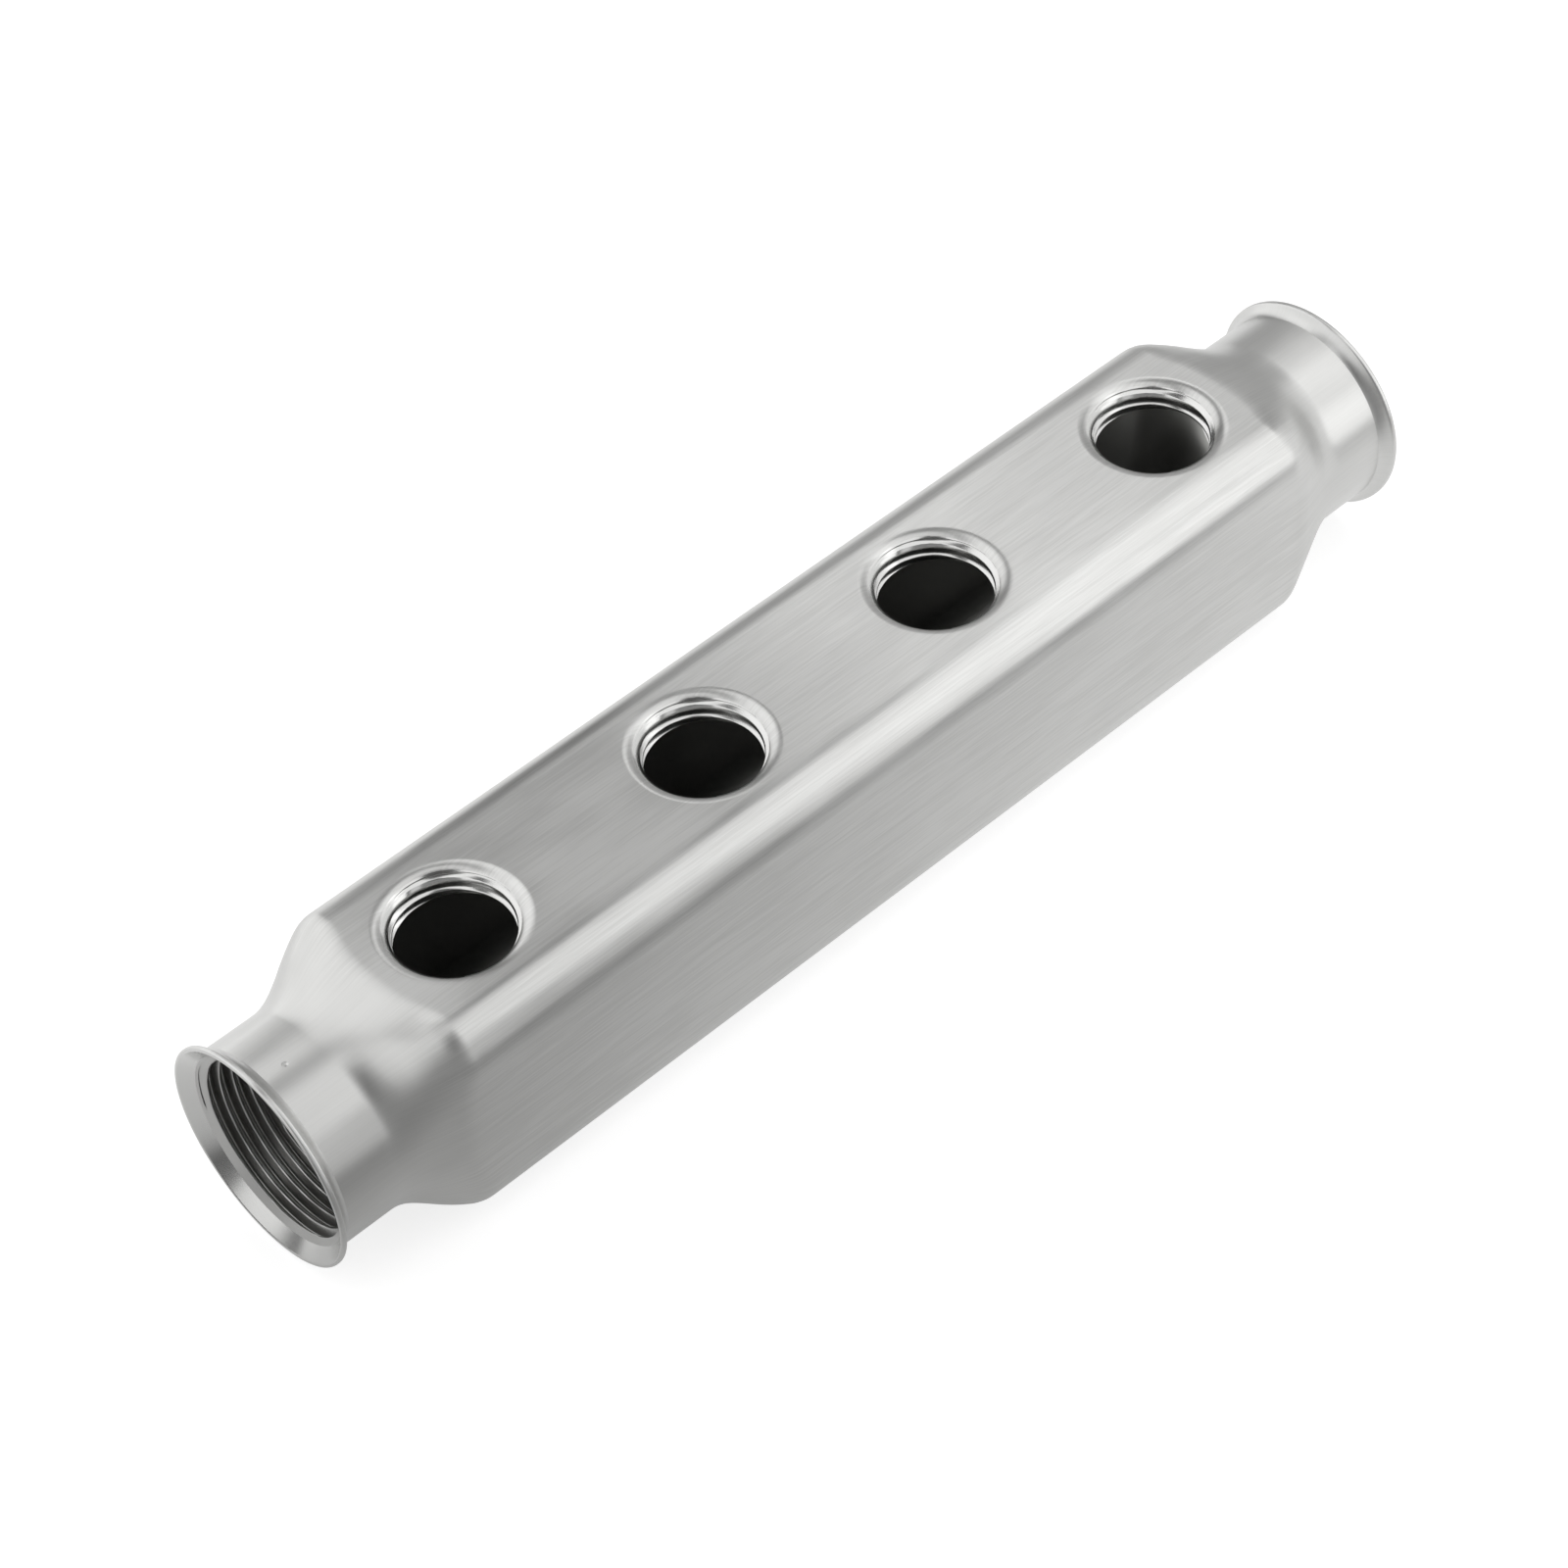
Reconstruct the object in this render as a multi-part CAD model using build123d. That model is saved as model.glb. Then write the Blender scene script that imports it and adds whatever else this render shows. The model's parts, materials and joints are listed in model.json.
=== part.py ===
from build123d import *
import math
import os

# Distribution manifold pressed from one length of stainless tube.
# X runs along the tube, Y across it, +Z is the way the outlets face.
# The origin is the middle of the flat underside. Millimetres.

# Body: a square tube with rounded long edges
BODY_WIDTH = 40.0
BODY_HEIGHT = 40.0
WALL = 2.3

# Round necks, swaged down from the body at both ends.
# The bore is the minor diameter of the pipe thread that it takes.
END_BORE_DIAMETER = 30.291
END_THREAD_DEPTH = 1.479
NECK_WALL = 2.35
NECK_LENGTH = 12.0

# Shoulders, from the round necks up to the square body.
# A blend is the share of the run that its curved start or finish takes.
SHOULDER_RUN = 15.5
FLAT_BLENDS = (0.46, 0.23)
CORNER_BLENDS = (0.32, 0.52)
SHOULDER_SECTIONS = 13

# Flared lip, which stands out from the neck by its rise.
# The flare is a hollow curve, from a crease at the neck to the rim's back edge.
LIP_RISE = 1.75
LIP_EDGE = 0.9
LIP_EDGE_ROUND = 0.4
FLARE_LENGTH = 1.8
FLARE_SLOPES = (0.45, 1.8)

# Conical seat for a sealing ring, from the lip's rim down to the thread
SEAT_RIM = 0.55
SEAT_DEPTH = 1.9
BORE_ENTRY = 0.85

# Outlets: holes drawn inward into short collars.
# The margin is the flat from a bore to the long edges' rounding.
OUTLET_COUNT = 4
OUTLET_PITCH = 50.0
OUTLET_BORE_DIAMETER = 18.631
FLAT_MARGIN = 3.1845
MOUTH_RADIUS = 3.1
MOUTH_LAND = 0.08
COLLAR_WALL = 1.8
COLLAR_DEPTH = 5.0
COLLAR_ROOT_RADIUS = 0.9

# Half width of the eight-part split of a round section
SEAM = 0.3
# How far a cutting shape runs past the lip, and how closely an edge is matched
CUT_OVERRUN = 1.0
MATCH = 0.001

END_BORE_RADIUS = END_BORE_DIAMETER / 2
NECK_RADIUS = END_BORE_RADIUS + NECK_WALL
LIP_RADIUS = NECK_RADIUS + LIP_RISE
AXIS_HEIGHT = BODY_HEIGHT / 2
OUTLET_RADIUS = OUTLET_BORE_DIAMETER / 2
COLLAR_RADIUS = OUTLET_RADIUS + COLLAR_WALL
OUTLETS = [(i - (OUTLET_COUNT - 1) / 2) * OUTLET_PITCH for i in range(OUTLET_COUNT)]

# The long edges' rounding takes what the outlets leave of the width, and a
# mouth's rounding and a collar's root stop short of it
FLAT_HALF_WIDTH = OUTLET_RADIUS + FLAT_MARGIN
EDGE_RADIUS = BODY_WIDTH / 2 - FLAT_HALF_WIDTH
MOUTH_ROUND = min(MOUTH_RADIUS, FLAT_MARGIN - MOUTH_LAND)
COLLAR_ROOT = min(COLLAR_ROOT_RADIUS, FLAT_HALF_WIDTH - COLLAR_RADIUS - MOUTH_LAND)

# The straight body ends just past the last mouth
BODY_HALF_LENGTH = OUTLETS[-1] + OUTLET_RADIUS + MOUTH_ROUND + MOUTH_LAND
NECK_BASE = BODY_HALF_LENGTH + SHOULDER_RUN
HALF_LENGTH = NECK_BASE + NECK_LENGTH


def eased(t, blends):
    """0 to 1 over a run: a parabola, a straight ramp and a parabola."""
    start, finish = blends
    slope = 1 / (1 - start / 2 - finish / 2)
    if t < start:
        return slope * t * t / (2 * start)
    if t > 1 - finish:
        return 1 - slope * (1 - t) ** 2 / (2 * finish)
    return slope * (t - start / 2)


def section(x, half_y, half_z, corner):
    """A closed outline across the tube, of four sides and four corner arcs.

    Where the corner radius has grown to the half width, the outline is a true
    circle, split at the same eight places as the rounded square.
    """
    if corner >= min(half_y, half_z) - SEAM / 4:
        turn = math.asin(SEAM / corner)

        def place(angle):
            return (x, corner * math.cos(angle), corner * math.sin(angle))

        edges = []
        for quarter in range(4):
            start = quarter * math.pi / 2
            edges.append(ThreePointArc(place(start - turn), place(start), place(start + turn)))
            middle = start + math.pi / 4
            finish = start + math.pi / 2 - turn
            edges.append(ThreePointArc(place(start + turn), place(middle), place(finish)))
        return Wire(edges)

    y = half_y - corner
    z = half_z - corner
    edges = []
    for sign_y, sign_z, start in ((1, 1, 0), (-1, 1, 90), (-1, -1, 180), (1, -1, 270)):
        centre_y = sign_y * y
        centre_z = sign_z * z

        def place(degrees):
            angle = math.radians(degrees)
            return (x, centre_y + corner * math.cos(angle), centre_z + corner * math.sin(angle))

        edges.append(ThreePointArc(place(start), place(start + 45), place(start + 90)))
    corners = list(edges)
    for i, arc in enumerate(corners):
        edges.append(Line(arc @ 1, corners[(i + 1) % 4] @ 0))
    return Wire(edges)


def shoulder(neck_radius, half_y, half_z, corner):
    """Loft from the round neck to the square body, at the +X end."""
    outlines = []
    for i in range(SHOULDER_SECTIONS):
        share = i / (SHOULDER_SECTIONS - 1)
        flat = eased(share, FLAT_BLENDS)
        round_off = eased(share, CORNER_BLENDS)
        radius = neck_radius + (corner - neck_radius) * round_off
        outlines.append(
            section(
                NECK_BASE - SHOULDER_RUN * share,
                neck_radius + (half_y - neck_radius) * flat,
                neck_radius + (half_z - neck_radius) * flat,
                radius,
            )
        )
    return Solid.make_loft(outlines)


def run_of_tube(half_y, half_z, corner):
    """The straight square stretch between the two shoulders."""
    outline = section(-BODY_HALF_LENGTH, half_y, half_z, corner)
    return extrude(Face(outline), amount=2 * BODY_HALF_LENGTH, dir=(1, 0, 0))


def turned(points):
    """A solid of revolution about the tube axis, from (x, radius) points."""
    outline = Polyline(*[(x, radius) for x, radius in points], close=True)
    return revolve(make_face(outline), Axis.X)


def both_ends(solid):
    """A solid and its mirror image at the other end of the tube."""
    return [solid, mirror(solid, about=Plane.YZ)]


def outer_form():
    """The tube's outside, with shoulders, necks and flared lips, and no bore."""
    rim_back = HALF_LENGTH - LIP_EDGE
    crease = rim_back - FLARE_LENGTH
    flare = Spline(
        (crease, NECK_RADIUS),
        (rim_back, LIP_RADIUS),
        tangents=[(1, slope) for slope in FLARE_SLOPES],
    )
    outline = [
        Line((NECK_BASE, 0), (NECK_BASE, NECK_RADIUS)),
        Line((NECK_BASE, NECK_RADIUS), (crease, NECK_RADIUS)),
        flare,
        Line((rim_back, LIP_RADIUS), (HALF_LENGTH, LIP_RADIUS)),
        Line((HALF_LENGTH, LIP_RADIUS), (HALF_LENGTH, 0)),
        Line((HALF_LENGTH, 0), (NECK_BASE, 0)),
    ]
    neck = revolve(make_face(outline), Axis.X)
    rim = neck.edges().filter_by(GeomType.CIRCLE).group_by(Axis.X)[-1]
    neck = fillet(rim, LIP_EDGE_ROUND)
    half_y = BODY_WIDTH / 2
    half_z = BODY_HEIGHT / 2
    solid = run_of_tube(half_y, half_z, EDGE_RADIUS)
    solid += both_ends(shoulder(NECK_RADIUS, half_y, half_z, EDGE_RADIUS))
    solid += both_ends(neck)
    return solid


def inner_form():
    """The water channel: square bore, shoulders, round bores and lip seats."""
    half_y = BODY_WIDTH / 2 - WALL
    half_z = BODY_HEIGHT / 2 - WALL
    corner = EDGE_RADIUS - WALL
    seat_end = HALF_LENGTH - SEAT_DEPTH
    floor_radius = END_BORE_RADIUS + END_THREAD_DEPTH
    mouth_radius = LIP_RADIUS - SEAT_RIM
    mouth_slope = (mouth_radius - floor_radius) / SEAT_DEPTH
    neck = turned(
        [
            (NECK_BASE, 0),
            (NECK_BASE, END_BORE_RADIUS),
            (seat_end - BORE_ENTRY, END_BORE_RADIUS),
            (seat_end, floor_radius),
            (HALF_LENGTH + CUT_OVERRUN, mouth_radius + CUT_OVERRUN * mouth_slope),
            (HALF_LENGTH + CUT_OVERRUN, 0),
        ]
    )
    solid = run_of_tube(half_y, half_z, corner)
    solid += both_ends(shoulder(END_BORE_RADIUS, half_y, half_z, corner))
    solid += both_ends(neck)
    return solid


def circles(solid, radius, height):
    """The level round edges of one radius at one height above the tube axis."""
    return [
        edge
        for edge in solid.edges().filter_by(GeomType.CIRCLE)
        if abs(edge.radius - radius) < MATCH and abs(edge.center().Z - height) < MATCH
    ]


def build_manifold():
    """The finished tube, with its outlets drawn inward through the top face."""
    tube = outer_form() - inner_form()
    top = BODY_HEIGHT / 2
    inner_top = top - WALL
    collar_end = top - COLLAR_DEPTH
    collars = [
        Pos(x, 0, collar_end) * Cylinder(
            COLLAR_RADIUS, top - WALL / 2 - collar_end, align=(Align.CENTER, Align.CENTER, Align.MIN)
        )
        for x in OUTLETS
    ]
    tube += collars
    tube = fillet(circles(tube, COLLAR_RADIUS, inner_top), COLLAR_ROOT)
    tube -= [
        Pos(x, 0, collar_end) * Cylinder(
            OUTLET_RADIUS, 2 * COLLAR_DEPTH, align=(Align.CENTER, Align.CENTER, Align.CENTER)
        )
        for x in OUTLETS
    ]
    tube = fillet(circles(tube, OUTLET_RADIUS, top), MOUTH_ROUND)
    return Pos(0, 0, AXIS_HEIGHT) * tube


manifold_body = build_manifold()

os.makedirs("parts", exist_ok=True)
export_step(manifold_body, "parts/manifold_body.step")
print("manifold_body", manifold_body.bounding_box(), "volume", round(manifold_body.volume, 1))
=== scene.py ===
# %% [markdown]
# # Dressing a distribution manifold
# The real part is one length of stainless tube. Its ends are pressed round and
# flared, its outlets are drawn inward through the top face, and pipe threads are
# cut into the wall. The CAD model holds the solid. Here it gets its threads, its
# brushed finish and the light that shows them, in the same frame and size.

# %% Load the frame
import json
import math

import bpy
import numpy as np
from mathutils import Matrix, Vector


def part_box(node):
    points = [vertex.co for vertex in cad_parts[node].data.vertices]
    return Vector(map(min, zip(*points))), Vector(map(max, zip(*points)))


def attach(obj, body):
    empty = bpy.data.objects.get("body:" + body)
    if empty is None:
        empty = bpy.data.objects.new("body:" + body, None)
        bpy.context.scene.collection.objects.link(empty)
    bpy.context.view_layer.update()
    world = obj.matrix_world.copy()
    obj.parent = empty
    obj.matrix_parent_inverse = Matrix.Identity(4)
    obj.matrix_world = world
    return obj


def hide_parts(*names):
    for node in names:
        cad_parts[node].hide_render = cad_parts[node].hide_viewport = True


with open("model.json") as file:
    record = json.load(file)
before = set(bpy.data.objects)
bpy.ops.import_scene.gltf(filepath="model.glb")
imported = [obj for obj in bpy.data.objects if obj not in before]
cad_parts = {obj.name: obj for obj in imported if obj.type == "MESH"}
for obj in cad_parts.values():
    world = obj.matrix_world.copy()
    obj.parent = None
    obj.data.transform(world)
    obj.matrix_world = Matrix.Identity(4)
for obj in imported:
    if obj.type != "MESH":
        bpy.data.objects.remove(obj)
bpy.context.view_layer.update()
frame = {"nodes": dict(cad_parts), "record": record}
low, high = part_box("manifold_body")
mounts = {mount["name"]: mount for mount in frame["record"]["mounts"]}
print("nodes", sorted(frame["nodes"]))
print("box in mm", [round(1000 * (b - a), 2) for a, b in zip(low, high)])

# %% [markdown]
# ## Camera
# The camera comes first, so that each later choice can be judged in the frame of
# the photograph. It was fitted to the outline of the body: it looks down at 46.5
# degrees on the near side of the tube, from 0.66 m, with a slight roll. A Track To
# constraint could aim it, but the roll would then need a helper of its own.

# %% Place the camera
CAMERA_PLACE = Vector((-0.310864, -0.342393, 0.500878))
CAMERA_AIM = Vector((-0.009578, -0.000639, 0.02))
CAMERA_ROLL = math.radians(-3.155)
LENS = 97.067
SENSOR = 36.0

view_line = (CAMERA_AIM - CAMERA_PLACE).normalized()
level_right = view_line.cross(Vector((0, 0, 1))).normalized()
level_up = level_right.cross(view_line)
right = level_right * math.cos(CAMERA_ROLL) + level_up * math.sin(CAMERA_ROLL)
up = right.cross(view_line)

camera_data = bpy.data.cameras.new("camera")
camera_data.lens = LENS
camera_data.sensor_width = SENSOR
camera = bpy.data.objects.new("camera", camera_data)
turn = Matrix((right, up, -view_line)).transposed().to_4x4()
camera.matrix_world = Matrix.Translation(CAMERA_PLACE) @ turn
bpy.context.scene.collection.objects.link(camera)
bpy.context.scene.camera = camera
print("camera looks down at", round(math.degrees(math.asin(-view_line.z)), 1), "degrees")

# %% [markdown]
# ## Sizes
# The overall sizes and the bores are read from the frame, and the rest repeats the
# solid's own values in millimetres, so the dressed skin lies on the solid. The
# threads are the standard pipe threads whose minor diameters are the two bores.

# %% Sizes of the tube, in millimetres
MM = 0.001
HALF_LENGTH = high.x / MM
BODY_HALF = high.y / MM
AXIS_HEIGHT = (low.z + high.z) / 2 / MM
OUTLETS = [mounts[f"outlet_{i}"]["pos_m"][0] / MM for i in (1, 2, 3, 4)]
OUTLET_RADIUS = mounts["outlet_1"]["dims"]["r_mm"]
END_RADIUS = mounts["end_thread_plus_x"]["dims"]["r_mm"]

EDGE_RADIUS = 7.5
WALL = 2.3
NECK_WALL = 2.35
NECK_RADIUS = END_RADIUS + NECK_WALL
NECK_LENGTH = 12.0
SHOULDER_RUN = 15.5
FLAT_BLENDS = (0.46, 0.23)
CORNER_BLENDS = (0.32, 0.52)
NECK_BASE = HALF_LENGTH - NECK_LENGTH
BODY_HALF_LENGTH = NECK_BASE - SHOULDER_RUN
FLAT_HALF = BODY_HALF - EDGE_RADIUS
print("straight body", round(2 * BODY_HALF_LENGTH, 1), "mm, neck radius", NECK_RADIUS)

# %% Sizes of the outlets, lips and threads, in millimetres
MOUTH_ROUND = 3.1
COLLAR_WALL = 1.8
COLLAR_DEPTH = 5.0
COLLAR_ROOT = 0.9
COLLAR_RADIUS = OUTLET_RADIUS + COLLAR_WALL
TOP = AXIS_HEIGHT + BODY_HALF
PATCH_HALF = BODY_HALF_LENGTH - OUTLETS[-1]

LIP_RISE = 1.75
LIP_RADIUS = NECK_RADIUS + LIP_RISE
LIP_EDGE = 0.9
LIP_ROUND = 0.4
FLARE_LENGTH = 1.8
FLARE_SLOPES = (0.45, 1.8)
SEAT_RIM = 0.55
SEAT_DEPTH = 1.9
BORE_ENTRY = 0.85

OUTLET_PITCH = 25.4 / 14
END_PITCH = 25.4 / 11
THREAD_DEPTH_SHARE = 0.6403
print("thread pitches", round(OUTLET_PITCH, 3), "and", round(END_PITCH, 3), "mm")

# %% [markdown]
# ## From grids to one closed skin
# Each stretch of the part is a surface over a grid of rows and columns. A surface
# is a function that takes whole arrays and gives points, and its normals are the
# cross product of its two slopes, measured a hair's breadth to either side. Blender
# could guess normals from the faces, but a brushed metal shows every error of that
# guess, so the exact ones are kept at the face corners. Neighbouring grids are
# then welded where their edges coincide.

# %% Grids and their normals
HAIR = 1e-4


def grid(surface, rows, columns, finish):
    """Points and unit normals of a surface at every row and column.

    The normal is the slope along the columns crossed with the slope along the
    rows, each taken as a central difference.
    """
    u, v = np.meshgrid(rows, columns, indexing="ij")
    along = surface(u + HAIR, v) - surface(u - HAIR, v)
    across = surface(u, v + HAIR) - surface(u, v - HAIR)
    normals = np.cross(along, across)
    normals /= np.linalg.norm(normals, axis=-1, keepdims=True)
    return {"points": surface(u, v), "normals": normals, "finish": finish}


def facing(patch, sign):
    """The same grid with its normals turned over where sign is -1."""
    patch["normals"] = patch["normals"] * sign
    return patch


# %% Weld grids into a mesh
WELD = 2e-4
WELD_OFFSET = 0.31


def quads_of(patch, first):
    """Corner numbers of a grid's quads, turned so that they face with the normals."""
    rows, columns = patch["points"].shape[:2]
    number = first + np.arange(rows * columns).reshape(rows, columns)
    a, b = number[:-1, :-1], number[:-1, 1:]
    c, d = number[1:, 1:], number[1:, :-1]
    quads = np.stack([a, d, c, b], axis=-1).reshape(-1, 4)
    points = patch["points"]
    cross = np.cross(points[1:, 1:] - points[:-1, :-1], points[:-1, 1:] - points[1:, :-1])
    if (cross * patch["normals"][:-1, :-1]).sum() < 0:
        quads = quads[:, ::-1]
    return quads


def weld(patches):
    """One set of points, quads, corner normals and finish numbers from many grids.

    Points are matched by their place in steps of the weld distance. The offset
    keeps round sizes off the border between two steps.
    """
    points = np.concatenate([p["points"].reshape(-1, 3) for p in patches])
    normals = np.concatenate([p["normals"].reshape(-1, 3) for p in patches])
    firsts = np.cumsum([0] + [p["points"][..., 0].size for p in patches[:-1]])
    lists = [quads_of(p, first) for p, first in zip(patches, firsts)]
    finishes = np.concatenate([np.full(len(q), p["finish"]) for q, p in zip(lists, patches)])
    quads = np.concatenate(lists)
    steps = np.floor(points / WELD + WELD_OFFSET).astype(np.int64)
    _, kept, renumbered = np.unique(steps, axis=0, return_index=True, return_inverse=True)
    return points[kept], renumbered.reshape(-1)[quads], normals[quads], finishes


# %% [markdown]
# ## The square tube and its round necks
# Every section across the tube is a rounded square. On the straight body its half
# width is 20 mm and its corner radius 7.5 mm. Along a shoulder both ease to the
# neck's radius, and where they are equal the section is a circle. In a direction
# given by an angle from straight up, the skin is either on a flat side or on a
# corner's arc, and both distances have a short formula. A press leaves the end of
# each flat bowed toward the neck, so the fall starts later at a flat's middle. The
# shoulder could be a subdivided cage too, but then its slopes would follow the
# cage and not the solid.

# %% The skin as a function of length and angle
SOFT_START = 0.35
SOFT_BLENDS = (0.5, 0.5)
FLAT_REACH = 2.7


def eased(share, blends):
    """0 to 1 over a run: a parabola, a straight climb and a parabola."""
    start, finish = blends
    slope = 1 / (1 - start / 2 - finish / 2)
    rising = slope * share**2 / (2 * start)
    steady = slope * (share - start / 2)
    settling = 1 - slope * (1 - share) ** 2 / (2 * finish)
    return np.where(share < start, rising, np.where(share > 1 - finish, settling, steady))


def reach(angle, half, corner):
    """Distance from the axis to a rounded square, in the direction of an angle.

    On a flat it is the half width over the cosine. On an arc whose centre is
    (q, q), it is q (s + c) + root(corner^2 - q^2 (s - c)^2).
    """
    s, c = np.abs(np.sin(angle)), np.abs(np.cos(angle))
    q = half - corner
    arc = q * (s + c) + np.sqrt(np.maximum(corner**2 - (q * (s - c)) ** 2, 0))
    on_top = half / np.maximum(c, HAIR)
    on_side = half / np.maximum(s, HAIR)
    return np.where(half * s < q * c, on_top, np.where(half * c < q * s, on_side, arc))


def rounder(angle, half, corner):
    """Distance to a superellipse with the rounded square's half width and diagonal.

    It is half / (s^n + c^n)^(1/n), and n follows from the diagonal.
    """
    s, c = np.abs(np.sin(angle)), np.abs(np.cos(angle))
    diagonal = (half - corner) * math.sqrt(2) + corner
    n = 1 / (0.5 - np.log2(diagonal / half))
    return half / (s**n + c**n) ** (1 / n)


def shoulder_share(x, angle):
    """1 on the body and 0 on a neck, falling later at the middle of each flat side.

    The delay is FLAT_REACH (1 - v^3)^2 at a place v from the middle of the flat to
    its edge, and it fades out along the shoulder.
    """
    s, c = np.abs(np.sin(angle)), np.abs(np.cos(angle))
    v = np.minimum(s, c) / np.maximum(s, c) * BODY_HALF / FLAT_HALF
    run = (np.abs(x) - BODY_HALF_LENGTH) / SHOULDER_RUN
    delay = FLAT_REACH / SHOULDER_RUN * np.clip(1 - v**3, 0, 1) ** 2
    return np.clip(1 - run + delay * np.clip(1 - run, 0, 1) ** 2, 0, 1)


def skin(x, angle, half, corner, neck):
    """Points of the tube's skin, from the square body out to the round necks.

    On a shoulder the rounded square gives way to a superellipse, so that no line
    shows between a side and a corner.
    """
    share = shoulder_share(x, angle)
    half_here = neck + (half - neck) * eased(share, FLAT_BLENDS)
    corner_here = neck + (corner - neck) * eased(share, CORNER_BLENDS)
    soft = eased(np.clip((1 - share) / SOFT_START, 0, 1), SOFT_BLENDS)
    out = reach(angle, half_here, corner_here) * (1 - soft)
    out = out + rounder(angle, half_here, corner_here) * soft
    return np.stack([x, out * np.sin(angle), AXIS_HEIGHT + out * np.cos(angle)], axis=-1)


# %% Columns round the tube
SIDE_COLUMNS = 20
ARC_COLUMNS = 12
COLUMNS = 4 * (SIDE_COLUMNS + ARC_COLUMNS)
side_spread = np.tan(np.linspace(-math.pi / 4, math.pi / 4, SIDE_COLUMNS + 1))


def column_angles(half, corner):
    """Angles of the columns on a rounded square, starting at one end of the top.

    Each quarter is an arc and then a flat, and the last flat is the top face.
    """
    flat = half - corner
    sweep = np.linspace(0, math.pi / 2, ARC_COLUMNS + 1)
    arc = np.arctan2(flat + corner * np.sin(sweep), flat + corner * np.cos(sweep))
    side = math.pi / 2 + np.arctan2(flat * side_spread, half)
    quarter = np.concatenate([arc[:-1], side[:-1]])
    turns = [quarter + i * math.pi / 2 for i in range(4)]
    return np.concatenate(turns + [quarter[:1] + 2 * math.pi])


outer_angles = column_angles(BODY_HALF, EDGE_RADIUS)
inner_angles = column_angles(BODY_HALF - WALL, EDGE_RADIUS - WALL)
neck_angles = outer_angles[0] + np.linspace(0, 2 * math.pi, COLUMNS + 1)
top_start = math.degrees(outer_angles[-SIDE_COLUMNS - 1])
print(COLUMNS, "columns round the tube, top face starts at", round(top_start, 1), "degrees")

# %% Body and shoulders, inside and out
SHOULDER_ROWS = 26
GAP_ROWS = 3
BRUSHED, CUT, INSIDE, BORE = 0, 1, 2, 3
gap_rows = np.linspace(OUTLETS[0] + PATCH_HALF, OUTLETS[1] - PATCH_HALF, GAP_ROWS + 1)


def body_rows():
    """Places along the body, close together beside each outlet."""
    beside = [x + PATCH_HALF * side_spread for x in OUTLETS]
    between = [gap_rows[1:-1] + x - OUTLETS[0] for x in OUTLETS[:-1]]
    return np.sort(np.concatenate(beside + between))


def tube_side(half, corner, neck, angles, finish, sign):
    """The straight body without its top face, and both shoulders all round.

    On a shoulder a column's angle goes evenly from its place on the neck to its
    place on the body.
    """

    def on_body(x, angle):
        return skin(x, angle, half, corner, neck)

    def on_shoulder(x, column):
        share = np.clip((NECK_BASE - np.abs(x)) / SHOULDER_RUN, 0, 1)
        place = np.arange(COLUMNS + 1)
        at_neck = np.interp(column, place, neck_angles)
        at_body = np.interp(column, place, angles)
        return skin(x, at_neck + (at_body - at_neck) * share, half, corner, neck)

    around = np.arange(COLUMNS + 1.0)
    run = np.linspace(BODY_HALF_LENGTH, NECK_BASE, SHOULDER_ROWS + 1)
    grids = [
        grid(on_body, body_rows(), angles[: COLUMNS - SIDE_COLUMNS + 1], finish),
        grid(on_shoulder, run, around, finish),
        grid(on_shoulder, -run[::-1], around, finish),
    ]
    return [facing(patch, sign) for patch in grids]


patches = tube_side(BODY_HALF, EDGE_RADIUS, NECK_RADIUS, outer_angles, BRUSHED, 1)
patches += tube_side(BODY_HALF - WALL, EDGE_RADIUS - WALL, END_RADIUS, inner_angles, INSIDE, -1)
print(len(patches), "grids for the body and shoulders")

# %% [markdown]
# ## Threads
# A pipe thread is a spiral groove whose section is close to a wave: the sides lean
# at 27.5 degrees and the crests and roots are round. A tap cuts it into a bore that
# already has its shape, so at each height and angle the finished wall is whichever
# is wider, the bore or the cut. That alone makes the first turn fade in on the
# rounded mouth, as it does on the real part. A Screw modifier and a boolean could
# cut the groove too, but they leave ragged faces in a bore that shines.

# %% The tap's cut
WAVE_SHARPNESS = 0.62
CREST_SOFTNESS = 0.05
CREST_FLAT = 0.1


def tap_cut(along, turn, minor, pitch):
    """Radius that a tap cuts, at a place along the axis and an angle round it.

    It is a wave of the phase (along / pitch - turn / full turn), sharpened by an
    arcsine, from just under the minor radius to one thread depth above it.
    """
    phase = 2 * math.pi * along / pitch - turn
    wave = np.arcsin(WAVE_SHARPNESS * np.cos(phase)) / math.asin(WAVE_SHARPNESS)
    depth = THREAD_DEPTH_SHARE * pitch
    return minor + depth - (depth + CREST_FLAT) * (1 - wave) / 2


def wider(a, b):
    """The larger of two radii, with a parabola over the corner between them."""
    near = np.maximum(1 - np.abs(a - b) / CREST_SOFTNESS, 0)
    return np.maximum(a, b) + CREST_SOFTNESS * near**2 / 4


# %% [markdown]
# ## Outlets
# Each outlet is a hole with a generously rounded mouth, drawn inward into a short
# collar. On the flat top a patch runs from a square to the mouth's circle, and
# below it the same columns go down the rounding, through the thread, under the
# collar and back up its outside to the ceiling of the channel. A boolean would make
# the hole in one step, but with long thin faces round it that spoil its reflections.

# %% Surfaces of an outlet
ROUND_RUN = MOUTH_ROUND * math.pi / 2
HOLE_RUN = ROUND_RUN + COLLAR_DEPTH - MOUTH_ROUND
OUTLET_PHASE = 2.12
ring_angles = np.linspace(-math.pi / 4, 2 * math.pi - math.pi / 4, 4 * SIDE_COLUMNS + 1)


def ring(centre, radius, height, turn):
    """Points on a level circle."""
    x, y = centre + radius * np.cos(turn), radius * np.sin(turn)
    return np.stack([x, y, height + 0 * x], axis=-1)


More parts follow.
